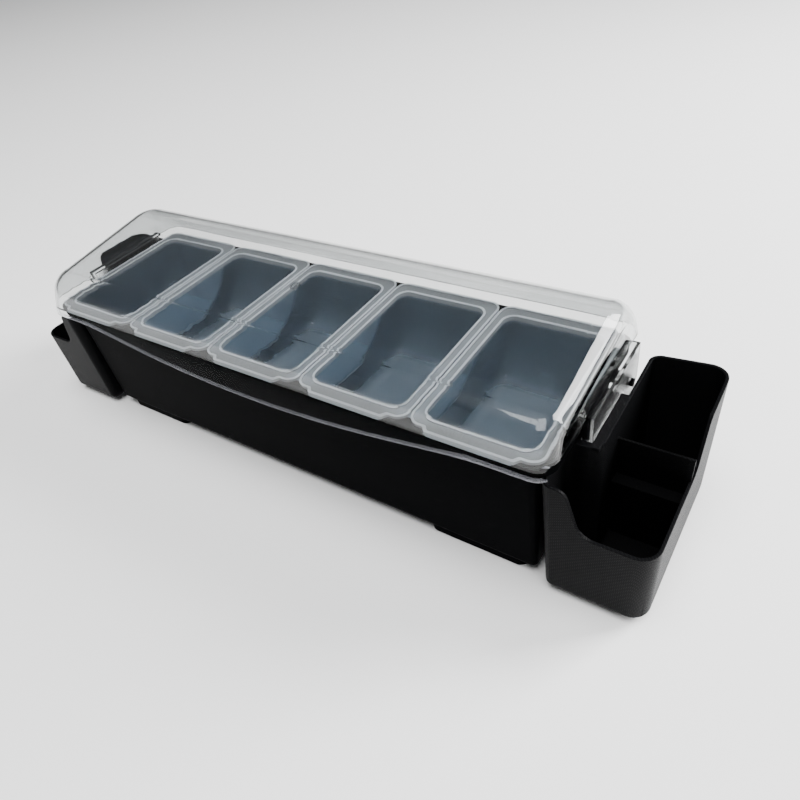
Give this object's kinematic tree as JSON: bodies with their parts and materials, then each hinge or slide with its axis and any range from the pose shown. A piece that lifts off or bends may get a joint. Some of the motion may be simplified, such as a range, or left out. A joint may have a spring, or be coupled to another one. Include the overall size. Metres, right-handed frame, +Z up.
{
  "type": "condiment dispenser",
  "caption": "Countertop condiment dispenser: deep tub with a row of lift-out trays under a hinged clear sloping lid, and a hanging caddy at each end.",
  "frame": {"origin": "on the table under the middle of the dispenser, at the centre of the bounding box's bottom face", "axes": "+X to the right along the row of trays, +Y to the hinge side at the back, +Z up"},
  "size_m": [0.6168, 0.16, 0.1638],
  "materials": {
    "black_satin": "satin black moulded plastic",
    "frosted_tray": "frosted translucent moulded plastic",
    "clear_lid": "clear polished moulded plastic",
    "black_grained": "fine-grained black moulded plastic"
  },
  "bodies": {
    "base": {"base_tub": "black_satin", "condiment_tray_1": "frosted_tray", "condiment_tray_2": "frosted_tray", "condiment_tray_3": "frosted_tray", "condiment_tray_4": "frosted_tray", "condiment_tray_5": "frosted_tray", "left_caddy": "black_grained", "right_caddy": "black_grained"},
    "lid": {"lid": "clear_lid"}
  },
  "joints": [
    {"name": "lid_hinge", "type": "hinge", "parent": "base", "child": "lid", "pos_m": [0, 0.044, 0.1055], "axis": [-1, 0, 0], "range_deg": [0, 90]}
  ]
}
